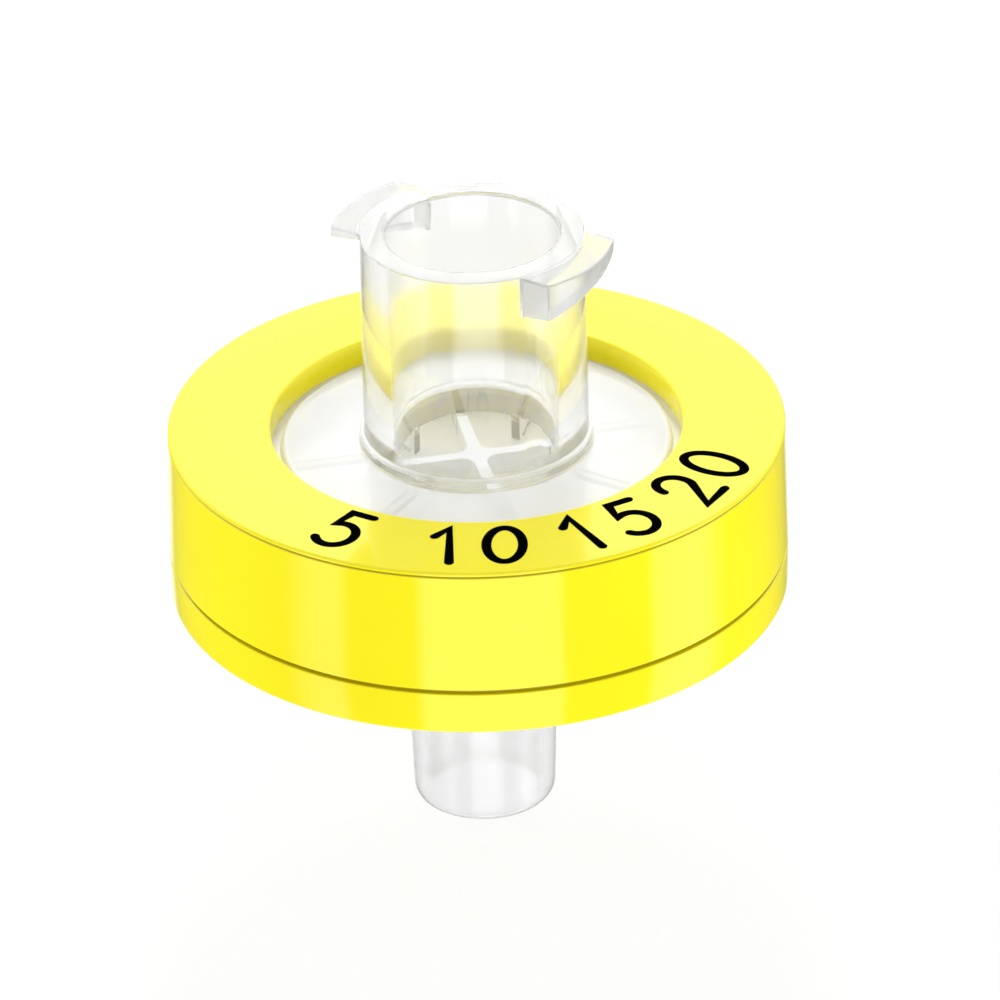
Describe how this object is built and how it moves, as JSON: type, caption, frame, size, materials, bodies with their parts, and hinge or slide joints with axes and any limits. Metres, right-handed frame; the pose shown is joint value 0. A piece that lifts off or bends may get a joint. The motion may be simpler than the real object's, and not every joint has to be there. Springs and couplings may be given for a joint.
{
  "type": "syringe filter",
  "caption": "Round in-line filter with a threaded-lug inlet socket, a tapered outlet and a moulded outer ring.",
  "frame": {"origin": "centre of the outlet tip's end face, the lowest point of the part", "axes": "+Z along the flow axis, from the outlet tip to the inlet mouth; the two thread lugs point along +X and -X"},
  "size_m": [0.0174, 0.0174, 0.0177],
  "materials": {
    "clear_plastic": "clear polypropylene, smooth",
    "nylon_membrane": "matt white nylon film",
    "yellow_plastic": "opaque yellow polypropylene, semi-gloss"
  },
  "bodies": {
    "root": {"inlet_housing": "clear_plastic", "outlet_housing": "clear_plastic", "membrane": "nylon_membrane", "overmould_ring": "yellow_plastic"}
  },
  "joints": []
}
